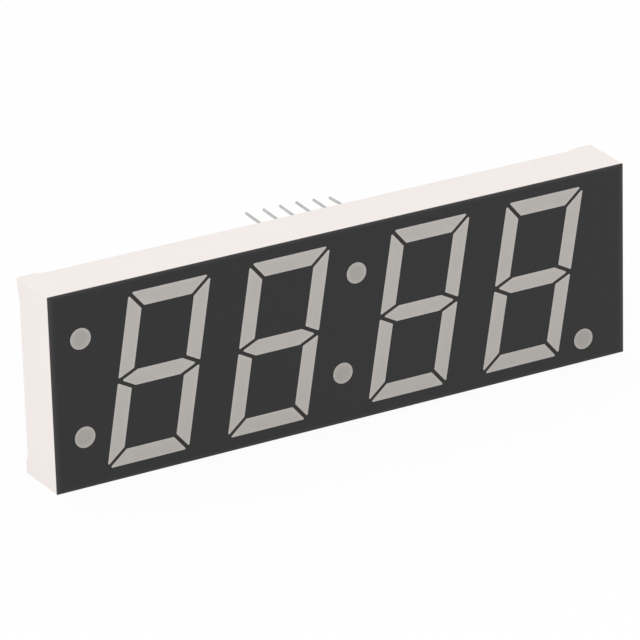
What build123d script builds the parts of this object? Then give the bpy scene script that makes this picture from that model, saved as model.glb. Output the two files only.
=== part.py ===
from build123d import *
import os
from math import atan2, cos, hypot, radians, sin, sqrt, tan

# Four-digit seven-segment LED display, potted type, with two rows of pins.
#
# Millimetres. X runs to the right along the row of digits, Y runs from the face into the
# display and Z is up. The origin is the centre of the pin field on the plane of the four
# rear feet, which is the plane of the board that the display is soldered to. The face
# looks towards -Y and the pins point along +Y. The middle of the face lies a little to the
# right of the pins.

# ---- driving dimensions -------------------------------------------------------------

# digits
digit_height = 24.13       # outer height of a lit eight
digit_width = 12.15        # outer width of an eight, measured level
segment_width = 2.2        # breadth of a bar
segment_gap = 0.5          # black line between two bars, square to the mitre
slant = 10.0               # lean of the digits to the right, degrees
window_radius = 0.15       # rounding of the corners of a bar
digit_pitch = 18.0         # from digit 1 to 2 and from digit 3 to 4
colon_pitch = 21.65        # from digit 2 to 3, with the colon between them

# round lights
dot_diameter = 3.0
dot_spacing = 14.0         # between the two lights of a pair
dot_rise = 0.25            # how far a pair sits above the middle of the face
left_dot_offset = 11.24    # from the middle of digit 1 to the left pair
point_offset = 9.95        # from the leaning centre line of digit 4 to its point

# margins of the face round the digits
left_margin = 15.73        # left edge to the middle of digit 1
right_margin = 14.62       # middle of digit 4 to the right edge
digit_margin = 1.935       # above and below the digits
face_offset = 0.5          # from the middle of the pins to the middle of the face

# moulded housing
wall = 0.7                 # skirt round the circuit board, where it is thinnest
reflector_depth = 5.0      # solid block that holds the light cavities
draft_angle = 4.0          # taper of each cavity towards the circuit board, degrees
end_draft = 1.3            # the two ends spread towards the back, degrees
side_edge_radius = 0.12    # on the four edges that run from the face to the back
foot_height = 0.5          # how far the feet stand behind the rim
foot_length = 2.4          # flat of a foot along X
foot_width = 1.5           # flat of a foot along Z
foot_ramp_length = 1.5     # slope from a foot down to the rim, along X
foot_ramp_width = 1.3      # the same along Z

# printed face
mask_thickness = 0.12
mask_edge_radius = 0.05    # round the outside of the print

# circuit board and the resin behind it
board_thickness = 1.0
board_clearance = 0.1      # all round, between the board and the skirt
resin_thickness = 1.78     # behind the board
resin_recess = 0.1         # from the rim down to the resin

# pins
pins_per_row = 6
pin_pitch = 2.54
pin_margin = 0.6           # from the inside of the skirt to the middle of a row of pins
pin_diameter = 0.4
pin_reach = 5.9            # from the plane of the feet to the tip
pin_tip_chamfer = 0.08
shank_side = 0.45          # square shank that is held by the board and the resin
shank_proud = 0.05         # how far the shank stands out of the resin
hole_clearance = 0.03      # round the corners of a shank in its hole

# solder
pad_margin = 0.025         # from a solder pad to the edge of the circuit board
solder_neck = 0.06         # thickness of the solder at the top of its cone
solder_height = 0.45

# light-emitting chips and their bond wires
chip_side = 0.3
chip_height = 0.2
chips_per_bar = 2
wire_diameter = 0.03
wire_span = 0.7            # from the chip to the pad on the circuit board

# ---- derived places -----------------------------------------------------------------

face_width = left_margin + 2 * digit_pitch + colon_pitch + right_margin
face_height = digit_height + 2 * digit_margin

rim_y = -foot_height
resin_y = rim_y - resin_recess
board_back_y = resin_y - resin_thickness
board_front_y = board_back_y - board_thickness
housing_front_y = board_front_y - reflector_depth
face_y = housing_front_y - mask_thickness
rear_width = face_width - 2 * housing_front_y * tan(radians(end_draft))

pocket_width = face_width - 2 * wall
pocket_height = face_height - 2 * wall
board_width = pocket_width - 2 * board_clearance
board_height = pocket_height - 2 * board_clearance

pin_row_z = pocket_height / 2 - pin_margin
hole_diameter = shank_side * sqrt(2) + 2 * hole_clearance
pad_radius = pin_margin - board_clearance - pad_margin

digit_places = [face_offset - face_width / 2 + left_margin]
for step in (digit_pitch, colon_pitch, digit_pitch):
    digit_places.append(digit_places[-1] + step)

lean = tan(radians(slant))


# ---- helpers ------------------------------------------------------------------------

def facing(x, y, z):
    """A plane square to Y, with its own x and y along X and Z and its normal to -Y."""
    return Plane(origin=(x, y, z), x_dir=(1, 0, 0), z_dir=(0, -1, 0))


def slab(width, height, y_front, y_back):
    """A block behind the middle of the face, between two depths."""
    return Pos(face_offset, (y_front + y_back) / 2, 0) * Box(width, y_back - y_front, height)


def rod(x, z, radius, y_front, y_back):
    """A round rod along Y, between two depths."""
    return extrude(facing(x, y_front, z) * Circle(radius), y_front - y_back)


def cone(x, z, front_radius, back_radius, y_front, y_back):
    """A cut cone along Y, between two depths."""
    middle = facing(x, (y_front + y_back) / 2, z)
    return middle * Cone(back_radius, front_radius, y_back - y_front)


def depth_edges(form):
    """The edges that join the front and the back of a form."""
    rims = form.faces().filter_by(Axis.Y).edges()
    return [edge for edge in form.edges() if edge not in rims]


def group(solids):
    """Separate solids of one kind, as one node."""
    return Compound(children=list(solids))


# ---- outlines of the bars -----------------------------------------------------------

# An upright eight is cut into seven bars by mitre lines, at 45 degrees in its corners
# and at half that slope where the middle bar meets the sides. Half a gap is taken off
# each side of every mitre line. Then all the points are sheared by the slant.

half_gap = segment_gap / 2
middle_mitre = atan2(1, 2)
corner_shift = half_gap * sqrt(2)
side_shift = half_gap / cos(middle_mitre)
tip_shift = half_gap / sin(middle_mitre)

outer_x = digit_width / 2
outer_z = digit_height / 2
inner_x = outer_x - segment_width
inner_z = outer_z - segment_width
half_bar = segment_width / 2

top_bar = [
    (-outer_x + corner_shift, outer_z),
    (outer_x - corner_shift, outer_z),
    (inner_x - corner_shift, inner_z),
    (-inner_x + corner_shift, inner_z),
]
side_bar = [
    (outer_x, outer_z - corner_shift),
    (inner_x, inner_z - corner_shift),
    (inner_x, half_bar + side_shift),
    (outer_x, side_shift),
]
middle_bar = [
    (-outer_x + tip_shift, 0),
    (-inner_x + tip_shift, half_bar),
    (inner_x - tip_shift, half_bar),
    (outer_x - tip_shift, 0),
    (inner_x - tip_shift, -half_bar),
    (-inner_x + tip_shift, -half_bar),
]

# the middle line of a bar, between the middle lines of its two neighbours
top_line = [(-inner_x, outer_z - half_bar), (inner_x, outer_z - half_bar)]
side_line = [(outer_x - half_bar, half_bar), (outer_x - half_bar, inner_z)]
middle_line = [(-inner_x, 0), (inner_x, 0)]


def mirrored(points, x_sign, z_sign):
    return [(x_sign * x, z_sign * z) for x, z in points]


def leaning(points, digit_x):
    """Points of the upright eight, sheared and moved to their digit."""
    return [(digit_x + x + z * lean, z) for x, z in points]


# letter: outline, middle line, and the side of the eight that the bar is on
bars = {
    "a": (top_bar, top_line, 1, 1),
    "b": (side_bar, side_line, 1, 1),
    "c": (side_bar, side_line, 1, -1),
    "d": (top_bar, top_line, 1, -1),
    "e": (side_bar, side_line, -1, -1),
    "f": (side_bar, side_line, -1, 1),
    "g": (middle_bar, middle_line, 1, 1),
}


# ---- resin in the light cavities ----------------------------------------------------

def bar_plug(outline):
    """The resin of one bar, tapered from the face to the circuit board."""
    window = facing(0, face_y, 0) * make_face(Polyline(*outline, close=True))
    block = extrude(window, face_y - board_front_y)
    ends = block.faces().filter_by(Axis.Y)
    sides = [side for side in block.faces() if side not in ends]
    plug = draft(sides, facing(0, face_y, 0), -draft_angle)
    return fillet(depth_edges(plug), window_radius)


def dot_plug(x, z):
    """The resin of one round light, tapered the same way."""
    shrink = (board_front_y - face_y) * tan(radians(draft_angle))
    window_r = dot_diameter / 2
    return cone(x, z, window_r, window_r - shrink, face_y, board_front_y)


# ---- chips and bond wires -----------------------------------------------------------

chip_y = board_front_y - chip_height


def chip(x, z):
    """One light-emitting chip on the front of the circuit board."""
    return Pos(x, board_front_y - chip_height / 2, z) * Box(chip_side, chip_height, chip_side)


def bond_wire(x, z, along_x, along_z):
    """A half ring from the top of a chip, with a straight leg down to the board."""
    section = facing(x, chip_y, z) * Circle(wire_diameter / 2)
    middle = (x + along_x * wire_span / 2, chip_y, z + along_z * wire_span / 2)
    arch = revolve(section, Axis(middle, (-along_z, 0, along_x)), 180)
    leg_x = x + along_x * wire_span
    leg_z = z + along_z * wire_span
    return arch + rod(leg_x, leg_z, wire_diameter / 2, chip_y, board_front_y)


def bar_bonds(line):
    """The places of a bar's chips, with the direction in which their wires run."""
    (x0, z0), (x1, z1) = line
    length = hypot(x1 - x0, z1 - z0)
    for i in range(chips_per_bar):
        share = (i + 0.5) / chips_per_bar
        place = (x0 + share * (x1 - x0), z0 + share * (z1 - z0))
        yield (*place, (x1 - x0) / length, (z1 - z0) / length)


# ---- moulded housing ----------------------------------------------------------------

def housing_block():
    """The outer form: a block with sloped ends, a pocket behind and four feet."""
    front = face_width / 2
    back = rear_width / 2
    outline = Polyline(
        (-front, housing_front_y), (front, housing_front_y), (back, 0), (-back, 0), close=True
    )
    block = extrude(Plane.XY * make_face(outline), face_height / 2, both=True)
    block = Pos(face_offset, 0, 0) * fillet(depth_edges(block), side_edge_radius)
    pocket = slab(pocket_width, pocket_height, board_front_y, 0)
    return block - pocket - long_gap() - short_gap()


def long_gap():
    """The space between the feet along X, sloped at both ends."""
    deep = rear_width / 2 - foot_length - foot_ramp_length
    wide = rear_width / 2 - foot_length
    outline = Polyline((-deep, rim_y), (deep, rim_y), (wide, 0), (-wide, 0), close=True)
    return Pos(face_offset, 0, 0) * extrude(Plane.XY * make_face(outline), face_height, both=True)


def short_gap():
    """The space between the feet along Z, sloped at both ends."""
    deep = face_height / 2 - foot_width - foot_ramp_width
    wide = face_height / 2 - foot_width
    outline = Polyline((rim_y, -deep), (rim_y, deep), (0, wide), (0, -wide), close=True)
    return extrude(Plane.YZ * make_face(outline), rear_width, both=True)


def face_sheet():
    """The black print over the whole face, before its windows are cut."""
    outline = RectangleRounded(face_width, face_height, side_edge_radius)
    sheet = extrude(facing(face_offset, housing_front_y, 0) * outline, mask_thickness)
    front = sheet.faces().sort_by(Axis.Y)[0]
    return fillet(front.edges(), mask_edge_radius)


# ---- pins, solder, circuit board and rear resin -------------------------------------

def shank(x, z):
    """The square part of a pin, held by the circuit board and the rear resin."""
    end_y = resin_y + shank_proud
    place = Pos(x, (board_front_y + end_y) / 2, z)
    return place * Box(shank_side, end_y - board_front_y, shank_side)


def pin(x, z):
    """A pin: the square shank, then a round lead with a chamfered tip."""
    lead = rod(x, z, pin_diameter / 2, resin_y + shank_proud, pin_reach)
    tip = lead.faces().sort_by(Axis.Y)[-1]
    return shank(x, z) + chamfer(tip.edges(), pin_tip_chamfer)


def solder_joint(x, z):
    """Solder that fills the hole round a shank and rises in a cone behind the board."""
    fill = rod(x, z, hole_diameter / 2, board_front_y, board_back_y)
    neck_radius = shank_side / sqrt(2) + solder_neck
    top_y = board_back_y + solder_height
    rise = cone(x, z, pad_radius, neck_radius, board_back_y, top_y)
    return fill + rise - shank(x, z)


def circuit_board(places):
    """The board, drilled for the pins. It closes the backs of all the cavities."""
    board = slab(board_width, board_height, board_front_y, board_back_y)
    return board - [
        rod(x, z, hole_diameter / 2, board_front_y, board_back_y) for x, z in places
    ]


def rear_resin(places):
    """The resin poured over the board and round its edges, up to just below the rim."""
    pour = slab(pocket_width, pocket_height, board_front_y, resin_y)
    board = slab(board_width, board_height, board_front_y, board_back_y)
    held = [solder_joint(x, z) for x, z in places] + [shank(x, z) for x, z in places]
    return pour - board - held


# ---- the whole display --------------------------------------------------------------

nodes = {}
chips = {}
wires = {}


def add_light(name, owner, plug, bonds):
    """One filled cavity, with the chips and wires that are cast into it."""
    bonds = list(bonds)
    own_chips = [chip(x, z) for x, z, along_x, along_z in bonds]
    own_wires = [bond_wire(*bond) for bond in bonds]
    chips.setdefault(owner, []).extend(own_chips)
    wires.setdefault(owner, []).extend(own_wires)
    nodes[name] = plug - own_chips - own_wires
    return plug


plugs = []

for number, digit_x in enumerate(digit_places, start=1):
    for letter, (outline, line, x_sign, z_sign) in bars.items():
        window = leaning(mirrored(outline, x_sign, z_sign), digit_x)
        middle = leaning(mirrored(line, x_sign, z_sign), digit_x)
        name = f"digit_{number}_segment_{letter}"
        plugs.append(add_light(name, f"digit_{number}", bar_plug(window), bar_bonds(middle)))

left_x = digit_places[0] - left_dot_offset
colon_x = (digit_places[1] + digit_places[2]) / 2
upper_z = dot_rise + dot_spacing / 2
lower_z = dot_rise - dot_spacing / 2
point_z = (dot_diameter - digit_height) / 2

dot_places = {
    "left_dot_upper": (left_x, upper_z),
    "left_dot_lower": (left_x, lower_z),
    "colon_dot_upper": (colon_x + upper_z * lean, upper_z),
    "colon_dot_lower": (colon_x + lower_z * lean, lower_z),
    "decimal_point": (digit_places[-1] + point_offset + point_z * lean, point_z),
}

for name, (x, z) in dot_places.items():
    plugs.append(add_light(name, "dots", dot_plug(x, z), [(x, z, 1, 0)]))

nodes["housing"] = housing_block() - plugs
nodes["face_mask"] = face_sheet() - plugs

# pins are numbered along the lower row, then back along the upper row
row_places = [(i - (pins_per_row - 1) / 2) * pin_pitch for i in range(pins_per_row)]
lower_row = [(x, -pin_row_z) for x in row_places]
upper_row = [(x, pin_row_z) for x in reversed(row_places)]
pin_places = lower_row + upper_row

for number, (x, z) in enumerate(pin_places, start=1):
    nodes[f"pin_{number}"] = pin(x, z)

nodes["circuit_board"] = circuit_board(pin_places)
nodes["rear_resin"] = rear_resin(pin_places)
nodes["solder_joints"] = group(solder_joint(x, z) for x, z in pin_places)

for owner in chips:
    nodes[f"led_chips_{owner}"] = group(chips[owner])
    nodes[f"bond_wires_{owner}"] = group(wires[owner])

os.makedirs("parts", exist_ok=True)

for name, shape in nodes.items():
    shape.label = name
    export_step(shape, f"parts/{name}.step")
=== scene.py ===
from math import cos, hypot, radians, sin

import bpy
from mathutils import Matrix, Vector


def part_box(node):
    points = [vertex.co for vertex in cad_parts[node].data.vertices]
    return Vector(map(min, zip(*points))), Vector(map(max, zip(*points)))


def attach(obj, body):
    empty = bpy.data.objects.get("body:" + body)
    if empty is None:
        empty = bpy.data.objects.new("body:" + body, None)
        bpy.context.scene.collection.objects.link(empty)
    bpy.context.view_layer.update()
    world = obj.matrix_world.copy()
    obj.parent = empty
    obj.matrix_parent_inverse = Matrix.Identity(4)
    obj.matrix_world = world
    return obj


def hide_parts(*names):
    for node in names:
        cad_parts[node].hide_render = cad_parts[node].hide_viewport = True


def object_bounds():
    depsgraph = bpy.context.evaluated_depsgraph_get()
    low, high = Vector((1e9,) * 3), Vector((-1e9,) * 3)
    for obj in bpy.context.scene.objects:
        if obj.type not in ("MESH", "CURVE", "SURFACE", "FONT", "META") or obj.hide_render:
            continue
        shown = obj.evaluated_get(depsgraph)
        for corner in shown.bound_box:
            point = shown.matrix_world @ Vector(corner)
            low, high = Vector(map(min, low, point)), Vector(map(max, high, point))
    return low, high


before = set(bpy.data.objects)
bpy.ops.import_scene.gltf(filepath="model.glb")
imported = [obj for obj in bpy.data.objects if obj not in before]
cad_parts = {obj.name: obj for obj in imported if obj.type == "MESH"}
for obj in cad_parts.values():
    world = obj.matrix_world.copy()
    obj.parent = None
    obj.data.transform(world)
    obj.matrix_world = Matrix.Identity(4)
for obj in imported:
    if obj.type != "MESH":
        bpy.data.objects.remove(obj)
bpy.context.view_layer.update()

# Four-digit seven-segment LED display. Metres, in the frame of the CAD model: X runs to the
# right along the digits, Y runs from the face into the display and Z is up.

MM = 0.001


# ---- node helpers -------------------------------------------------------------------

class Shader:
    """A material with one Principled shader, and short ways to add patterns to it."""

    def __init__(self, name, **inputs):
        self.material = bpy.data.materials.new(name)
        self.material.use_nodes = True
        self.tree = self.material.node_tree
        self.principled = self.tree.nodes["Principled BSDF"]
        self.place = self.node("ShaderNodeTexCoord").outputs["Object"]
        for socket, value in inputs.items():
            self.principled.inputs[socket.replace("_", " ")].default_value = value

    def node(self, kind, **settings):
        """A new node of one kind, with its settings."""
        made = self.tree.nodes.new(kind)
        for name, value in settings.items():
            setattr(made, name, value)
        return made

    def link(self, output, socket):
        """Links an output to a socket."""
        self.tree.links.new(output, socket)

    def feed(self, value, socket):
        """Puts an output, a number or a colour into a socket."""
        if isinstance(value, bpy.types.NodeSocket):
            self.link(value, socket)
        else:
            socket.default_value = value

    def drive(self, name, output):
        """Links an output to one input of the Principled shader."""
        self.link(output, self.principled.inputs[name])

    def stretched(self, scale):
        """Places scaled by a factor for each axis."""
        mapping = self.node("ShaderNodeMapping")
        mapping.inputs["Scale"].default_value = scale
        self.link(self.place, mapping.inputs["Vector"])
        return mapping.outputs["Vector"]

    def noise(self, size, detail=2.0, rough=0.5, place=None):
        """Noise from 0 to 1 whose patches are about size metres across."""
        noise = self.node("ShaderNodeTexNoise")
        noise.inputs["Scale"].default_value = 1 / size
        noise.inputs["Detail"].default_value = detail
        noise.inputs["Roughness"].default_value = rough
        self.link(place or self.place, noise.inputs["Vector"])
        return noise.outputs["Fac"]

    def spots(self, size):
        """Distance to the nearest of a scatter of points about size metres apart."""
        cells = self.node("ShaderNodeTexVoronoi")
        cells.inputs["Scale"].default_value = 1 / size
        self.link(self.place, cells.inputs["Vector"])
        return cells.outputs["Distance"]

    def spread(self, value, low, high, start=0.3, end=0.7):
        """A value from start to end, spread between two numbers."""
        scale = self.node("ShaderNodeMapRange")
        for name, number in (
            ("From Min", start), ("From Max", end), ("To Min", low), ("To Max", high),
        ):
            scale.inputs[name].default_value = number
        self.link(value, scale.inputs["Value"])
        return scale.outputs["Result"]

    def tint(self, value, low, high, start=0.3, end=0.7):
        """A value from start to end, spread between two colours."""
        ramp = self.node("ShaderNodeValToRGB")
        first, last = ramp.color_ramp.elements
        first.position, last.position = start, end
        first.color = (*low, 1)
        last.color = (*high, 1)
        self.link(value, ramp.inputs["Fac"])
        return ramp.outputs["Color"]

    def blended(self, share, low, high):
        """A colour output turned towards a fixed colour by a share."""
        mix = self.node("ShaderNodeMix", data_type="RGBA")
        self.feed(share, mix.inputs[0])
        self.feed(low, mix.inputs[6])
        self.feed((*high, 1), mix.inputs[7])
        return mix.outputs[2]

    def product(self, first, second):
        """Two colour outputs multiplied."""
        mix = self.node("ShaderNodeMix", data_type="RGBA", blend_type="MULTIPLY")
        for value, socket in ((1.0, mix.inputs[0]), (first, mix.inputs[6]), (second, mix.inputs[7])):
            self.feed(value, socket)
        return mix.outputs[2]

    def maths(self, operation, first, second=0.0):
        """The result of one operation on numbers or outputs."""
        made = self.node("ShaderNodeMath", operation=operation)
        self.feed(first, made.inputs[0])
        self.feed(second, made.inputs[1])
        return made.outputs["Value"]

    def bumps(self, *layers):
        """Bump layers, each a height from 0 to 1 and its depth in metres."""
        normal = None
        for height, depth in layers:
            bump = self.node("ShaderNodeBump")
            bump.inputs["Distance"].default_value = depth
            self.link(height, bump.inputs["Height"])
            if normal:
                self.link(normal, bump.inputs["Normal"])
            normal = bump.outputs["Normal"]
        self.drive("Normal", normal)


# ---- materials ----------------------------------------------------------------------

def moulded_white():
    """Satin white moulding, with a fine grain and a faint unevenness of the surface."""
    shader = Shader("moulded_white", IOR=1.5)
    cloud = shader.noise(9 * MM, detail=3)
    shader.drive("Base Color", shader.tint(cloud, (0.842, 0.782, 0.757), (0.86, 0.8, 0.775)))
    shader.drive("Roughness", shader.spread(shader.noise(0.7 * MM, detail=4), 0.4, 0.52))
    shader.bumps(
        (shader.noise(6 * MM), 0.02 * MM),
        (shader.noise(0.16 * MM, detail=3), 0.0025 * MM),
    )
    return shader.material


def face_print():
    """Satin black print with a fine grain, greyer along the edges of the face, where a painted sheen
    stands in for the light on its rolled-off edges.
    """
    low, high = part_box("face_mask")
    middle = (low + high) / 2
    shader = Shader("face_print", IOR=1.43)
    split = shader.node("ShaderNodeSeparateXYZ")
    shader.link(shader.place, split.inputs["Vector"])

    def nearness(axis, centre, edge, width):
        """0 to 1 over the last stretch before the two edges across one axis."""
        offset = shader.maths("SUBTRACT", split.outputs[axis], centre)
        across = shader.maths("ABSOLUTE", offset)
        half = edge - centre
        return shader.spread(across, 0.0, 1.0, half - width, half)

    to_ends = nearness("X", middle.x, high.x, 1.1 * MM)
    to_sides = nearness("Z", middle.z, high.z, 0.7 * MM)
    # Painted sheen: towards the ends and sides of the face the black is blended to a grey, in place
    # of light caught by the rounded edges.
    edge_sheen = shader.maths("POWER", shader.maths("MAXIMUM", to_ends, to_sides), 2.0)
    speckle = shader.noise(0.3 * MM, detail=4)
    grain = shader.tint(speckle, (0.0045, 0.0045, 0.005), (0.0075, 0.0075, 0.008))
    shader.drive("Base Color", shader.blended(edge_sheen, grain, (0.034, 0.031, 0.031)))
    shader.drive("Roughness", shader.spread(shader.noise(0.5 * MM, detail=4), 0.36, 0.48))
    shader.bumps(
        (shader.noise(5 * MM), 0.012 * MM),
        (shader.noise(0.09 * MM, detail=3), 0.0018 * MM),
    )
    return shader.material


def milky_resin(name, middle, rim, wall_light_width):
    """Grey diffused casting resin, with painted light: paler near the walls of its window, where
    light from the white wall just below would come back through, and darker in the middle.
    """
    shader = Shader(name, IOR=1.5)
    # Painted light: occlusion inside the resin blends from the paler rim colour near the walls to
    # the darker middle colour.
    inside = shader.node("ShaderNodeAmbientOcclusion", inside=True, only_local=True, samples=8)
    inside.inputs["Distance"].default_value = wall_light_width
    base = shader.tint(inside.outputs["AO"], rim, middle, 0.35, 0.95)
    cloud = shader.tint(shader.noise(2.2 * MM, detail=4), (0.955, 0.955, 0.955), (1, 1, 1))
    grain = shader.tint(shader.noise(0.12 * MM, detail=2), (0.96, 0.96, 0.96), (1, 1, 1))
    shader.drive("Base Color", shader.product(base, shader.product(cloud, grain)))
    shader.drive("Roughness", shader.spread(shader.noise(0.6 * MM, detail=3), 0.3, 0.42))
    shader.bumps(
        (shader.noise(1.8 * MM), 0.008 * MM),
        (shader.noise(0.1 * MM), 0.001 * MM),
    )
    return shader.material


def poured_resin():
    """Milky resin poured behind the board, glossy and uneven, with small faint specks."""
    shader = Shader("poured_resin", IOR=1.5, Coat_Weight=0.4, Coat_Roughness=0.05)
    cloud = shader.noise(9 * MM, detail=2)
    base = shader.tint(cloud, (0.6, 0.572, 0.515), (0.635, 0.608, 0.555), 0.25, 0.75)
    speck = shader.tint(shader.spots(2.1 * MM), (0.8, 0.8, 0.8), (1, 1, 1), 0.02, 0.06)
    shader.drive("Base Color", shader.product(base, speck))
    shader.drive("Roughness", shader.spread(shader.noise(1.5 * MM, detail=3), 0.12, 0.2))
    shader.bumps((shader.noise(3 * MM, detail=3), 0.03 * MM))
    return shader.material


def laminate():
    """Glass-fibre laminate, with its weave faint under the surface."""
    shader = Shader("laminate", IOR=1.5)
    weave = [
        shader.node("ShaderNodeTexWave", bands_direction=direction) for direction in ("X", "Z")
    ]
    for wave in weave:
        wave.inputs["Scale"].default_value = 0.5 / MM
        wave.inputs["Distortion"].default_value = 1.2
        shader.link(shader.place, wave.inputs["Vector"])
    cloth = shader.maths("MULTIPLY", weave[0].outputs["Fac"], weave[1].outputs["Fac"])
    shader.drive("Base Color", shader.tint(cloth, (0.47, 0.43, 0.23), (0.6, 0.55, 0.34), 0, 1))
    shader.drive("Roughness", shader.spread(cloth, 0.35, 0.5, 0, 1))
    shader.bumps((cloth, 0.01 * MM))
    return shader.material


def metal(name, dark, bright, low_roughness, high_roughness, streak):
    """Metal with patches of duller surface, drawn out along the pins by the streak."""
    shader = Shader(name, Metallic=1.0)
    along = shader.stretched((1, 1 / streak, 1))
    patch = shader.noise(0.35 * MM, detail=4, rough=0.6, place=along)
    shader.drive("Base Color", shader.tint(patch, dark, bright))
    rough = shader.noise(0.15 * MM, detail=3, place=along)
    shader.drive("Roughness", shader.spread(rough, low_roughness, high_roughness))
    shader.bumps((shader.noise(0.12 * MM, detail=3, place=along), 0.004 * MM))
    return shader.material


def chip_crystal():
    """The sawn sides and etched top of a light-emitting chip."""
    shader = Shader("chip_crystal", IOR=2.4)
    grain = shader.noise(0.04 * MM, detail=3)
    shader.drive("Base Color", shader.tint(grain, (0.4, 0.33, 0.08), (0.58, 0.5, 0.14)))
    shader.drive("Roughness", shader.spread(grain, 0.2, 0.4))
    shader.bumps((grain, 0.002 * MM))
    return shader.material


# ---- CAD nodes ----------------------------------------------------------------------

def dress_nodes():
    """Gives every CAD node its material, and smooth shading on its round faces."""
    # For each resin the second colour is the painted light near the white walls, and the first is
    # the darker middle.
    bars = milky_resin("bar_resin", (0.408, 0.383, 0.362), (0.436, 0.412, 0.391), 0.7 * MM)
    dots = milky_resin("dot_resin", (0.328, 0.31, 0.292), (0.4, 0.38, 0.358), 0.75 * MM)
    tinned = metal("tinned", (0.47, 0.47, 0.455), (0.6, 0.6, 0.585), 0.28, 0.45, 5)
    solder = metal("solder", (0.5, 0.5, 0.5), (0.66, 0.66, 0.66), 0.15, 0.35, 1)
    gold = metal("gold", (0.75, 0.52, 0.17), (0.9, 0.66, 0.26), 0.2, 0.3, 2)
    looks = {
        "housing": moulded_white(),
        "face_mask": face_print(),
        "digit_": bars,
        "left_dot_": dots,
        "colon_dot_": dots,
        "decimal_point": dots,
        "circuit_board": laminate(),
        "rear_resin": poured_resin(),
        "solder_joints": solder,
        "pin_": tinned,
        "led_chips_": chip_crystal(),
        "bond_wires_": gold,
    }
    for name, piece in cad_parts.items():
        start = next(key for key in looks if name.startswith(key))
        piece.data.materials.clear()
        piece.data.materials.append(looks[start])
        piece.data.shade_smooth()
    return looks


# ---- surface of the poured resin ----------------------------------------------------

def grid_lines(start, end, centres, reach, fine=0.06 * MM, coarse=0.6 * MM):
    """Grid lines between two ends, fine near both ends and near some centres."""
    lines = [start]
    while end - lines[-1] > 1.5 * fine:
        near = min(abs(lines[-1] - place) for place in (start, end, *centres))
        lines.append(lines[-1] + min(coarse, max(fine, near - reach)))
    return lines + [end]


def resin_surface(material):
    """The skin of the poured resin: faint waves, drawn up along the skirt and round the pins."""
    low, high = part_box("rear_resin")
    pins = [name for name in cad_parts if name.startswith("pin_")]
    corners = [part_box(name) for name in pins]
    places = [((a.x + b.x) / 2, (a.z + b.z) / 2) for a, b in corners]
    skin, wave, slant = 0.012 * MM, 0.014 * MM, 0.6
    edge_height, edge_width = 0.075 * MM, 0.5 * MM
    collar_height, collar_width, pin_radius = 0.24 * MM, 0.34 * MM, 0.2 * MM

    def height(x, z):
        waves = sin(x / (3.1 * MM) + 1.7) * sin(z / (2.3 * MM) + 0.4)
        waves += slant * sin((x + z) / (5.3 * MM))
        to_edge = min(x - low.x, high.x - x, z - low.z, high.z - z)
        rise = edge_height * max(0, 1 - to_edge / edge_width) ** 2
        nearest = min(hypot(x - px, z - pz) for px, pz in places)
        collar = collar_height * min(1, max(0, 1 - (nearest - pin_radius) / collar_width)) ** 2
        return skin + wave * (1 + waves / (1 + slant)) + rise + collar

    margin, reach = 0.003 * MM, 0.6 * MM
    columns_at, rows_at = {x for x, z in places}, {z for x, z in places}
    x_lines = grid_lines(low.x + margin, high.x - margin, columns_at, reach)
    z_lines = grid_lines(low.z + margin, high.z - margin, rows_at, reach)
    columns, rows = len(x_lines), len(z_lines)
    top = [(x, high.y + height(x, z), z) for z in z_lines for x in x_lines]
    rim = list(range(columns))
    rim += [j * columns + columns - 1 for j in range(1, rows)]
    rim += [(rows - 1) * columns + i for i in range(columns - 2, -1, -1)]
    rim += [j * columns for j in range(rows - 2, 0, -1)]
    floor = [(top[i][0], high.y, top[i][2]) for i in rim]
    faces = [
        (j * columns + i, (j + 1) * columns + i, (j + 1) * columns + i + 1, j * columns + i + 1)
        for j in range(rows - 1) for i in range(columns - 1)
    ]
    first = len(top)
    for k in range(len(rim)):
        after = (k + 1) % len(rim)
        faces.append((rim[k], rim[after], first + after, first + k))
    faces.append(tuple(first + k for k in range(len(rim))))
    mesh = bpy.data.meshes.new("resin_surface")
    mesh.from_pydata(top + floor, [], faces)
    mesh.materials.append(material)
    mesh.shade_smooth()
    piece = bpy.data.objects.new("resin_surface", mesh)
    bpy.context.scene.collection.objects.link(piece)
    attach(piece, "root")


# ---- bent pins ----------------------------------------------------------------------

def bent_pin(node, across, rise):
    """A copy of a pin whose free length leans, so that its tip moves across and up."""
    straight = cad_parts[node]
    mesh = straight.data.copy()
    root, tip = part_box("rear_resin")[1].y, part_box(node)[1].y
    for vertex in mesh.vertices:
        share = max(0, (vertex.co.y - root) / (tip - root))
        bow = share * (2 + share) / 3
        vertex.co.x += across * bow
        vertex.co.z += rise * bow
    piece = bpy.data.objects.new(f"bent_{node}", mesh)
    bpy.context.scene.collection.objects.link(piece)
    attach(piece, "root")
    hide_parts(node)


def bend_pins():
    """The upper row of pins, each a little out of true, as handling leaves them."""
    leans = {
        "pin_12": (-0.05, 0.24),
        "pin_11": (0.08, 0.2),
        "pin_10": (0.1, 0.17),
        "pin_9": (0.06, 0.15),
        "pin_8": (0.2, -0.07),
        "pin_7": (0.18, -0.3),
    }
    for node, (across, rise) in leans.items():
        bent_pin(node, across * MM, rise * MM)


# ---- floor, light and camera --------------------------------------------------------

def seen_directly(shader_nodes, links):
    """1 for rays that see a surface directly, in a mirror or through glass, and 0 for light."""
    path = shader_nodes.new("ShaderNodeLightPath")
    total = path.outputs["Is Camera Ray"]
    for name in ("Is Glossy Ray", "Is Transmission Ray"):
        add = shader_nodes.new("ShaderNodeMath")
        add.operation = "MAXIMUM"
        links.new(total, add.inputs[0])
        links.new(path.outputs[name], add.inputs[1])
        total = add.outputs["Value"]
    return total


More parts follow.
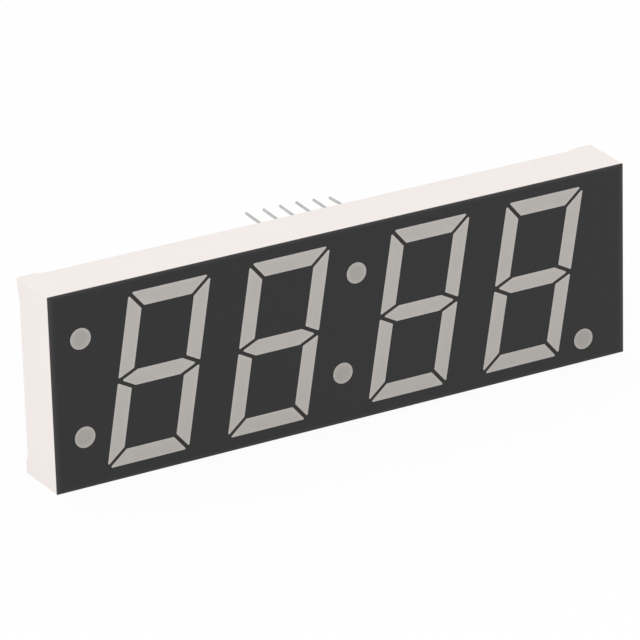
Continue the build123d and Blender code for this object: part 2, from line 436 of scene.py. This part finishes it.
def white_floor():
    """A white floor just under the display that shows its shadow faintly."""
    lengths_each_way, gap = 20, 0.01 * MM
    white, glow_share = 0.93, 0.91
    low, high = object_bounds()
    half = lengths_each_way * (high[0] - low[0])
    level = low[2] - gap
    mesh = bpy.data.meshes.new("floor")
    corners = [(-half, -half), (half, -half), (half, half), (-half, half)]
    mesh.from_pydata([(x, y, level) for x, y in corners], [], [(0, 1, 2, 3)])
    floor = bpy.data.objects.new("floor", mesh)
    bpy.context.scene.collection.objects.link(floor)
    material = bpy.data.materials.new("floor")
    material.use_nodes = True
    nodes, links = material.node_tree.nodes, material.node_tree.links
    nodes.clear()
    diffuse = nodes.new("ShaderNodeBsdfDiffuse")
    diffuse.inputs["Color"].default_value = (white, white, white, 1)
    glow = nodes.new("ShaderNodeEmission")
    share = nodes.new("ShaderNodeMath")
    share.operation = "MULTIPLY"
    share.inputs[1].default_value = glow_share
    links.new(seen_directly(nodes, links), share.inputs[0])
    mix = nodes.new("ShaderNodeMixShader")
    links.new(share.outputs["Value"], mix.inputs["Fac"])
    links.new(diffuse.outputs["BSDF"], mix.inputs[1])
    links.new(glow.outputs["Emission"], mix.inputs[2])
    output = nodes.new("ShaderNodeOutputMaterial")
    links.new(mix.outputs["Shader"], output.inputs["Surface"])
    mesh.materials.append(material)


def white_world():
    """An even white surrounding that lights the display softly."""
    world = bpy.data.worlds.new("studio")
    world.use_nodes = True
    bpy.context.scene.world = world
    nodes, links = world.node_tree.nodes, world.node_tree.links
    nodes.clear()
    light = nodes.new("ShaderNodeBackground")
    light.inputs["Strength"].default_value = 0.815
    seen = nodes.new("ShaderNodeBackground")
    mix = nodes.new("ShaderNodeMixShader")
    for background in (light, seen):
        background.inputs["Color"].default_value = (1, 1, 1, 1)
    links.new(seen_directly(nodes, links), mix.inputs["Fac"])
    links.new(light.outputs["Background"], mix.inputs[1])
    links.new(seen.outputs["Background"], mix.inputs[2])
    output = nodes.new("ShaderNodeOutputWorld")
    links.new(mix.outputs["Shader"], output.inputs["Surface"])


def soft_box(name, place, power, side=0.7):
    """A square area light that faces the origin."""
    light = bpy.data.lights.new(name, "AREA")
    light.shape = "SQUARE"
    light.size = side
    light.energy = power
    lamp = bpy.data.objects.new(name, light)
    bpy.context.scene.collection.objects.link(lamp)
    lamp.location = place
    lamp.rotation_euler = (-Vector(place)).to_track_quat("-Z", "Y").to_euler()


def photo_camera():
    """The camera, placed about the middle of the face."""
    azimuth, elevation, roll = radians(-28.87), radians(22.79), radians(-1.59)
    distance = 675.1 * MM
    low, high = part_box("face_mask")
    face = Vector(((low.x + high.x) / 2, low.y, (low.z + high.z) / 2))
    aim = face + Vector((-3.93, 0, 1.75)) * MM
    back = Vector((sin(azimuth) * cos(elevation), -cos(azimuth) * cos(elevation), sin(elevation)))
    level = (-back).cross(Vector((0, 0, 1))).normalized()
    rise = back.cross(level)
    right = cos(roll) * level + sin(roll) * rise
    up = back.cross(right)
    data = bpy.data.cameras.new("camera")
    data.sensor_width = 36
    data.lens = 284.65
    camera = bpy.data.objects.new("camera", data)
    bpy.context.scene.collection.objects.link(camera)
    turn = Matrix((right, up, back)).transposed().to_4x4()
    camera.matrix_world = Matrix.Translation(aim + distance * back) @ turn
    bpy.context.scene.camera = camera


looks = dress_nodes()
resin_surface(looks["rear_resin"])
bend_pins()
white_floor()
white_world()
soft_box("key", (-0.55, -0.58, 0.7), power=3.4)
soft_box("fill", (0.7, -0.5, 0.35), power=1.3)
photo_camera()

scene = bpy.context.scene
scene.view_settings.view_transform = "Standard"
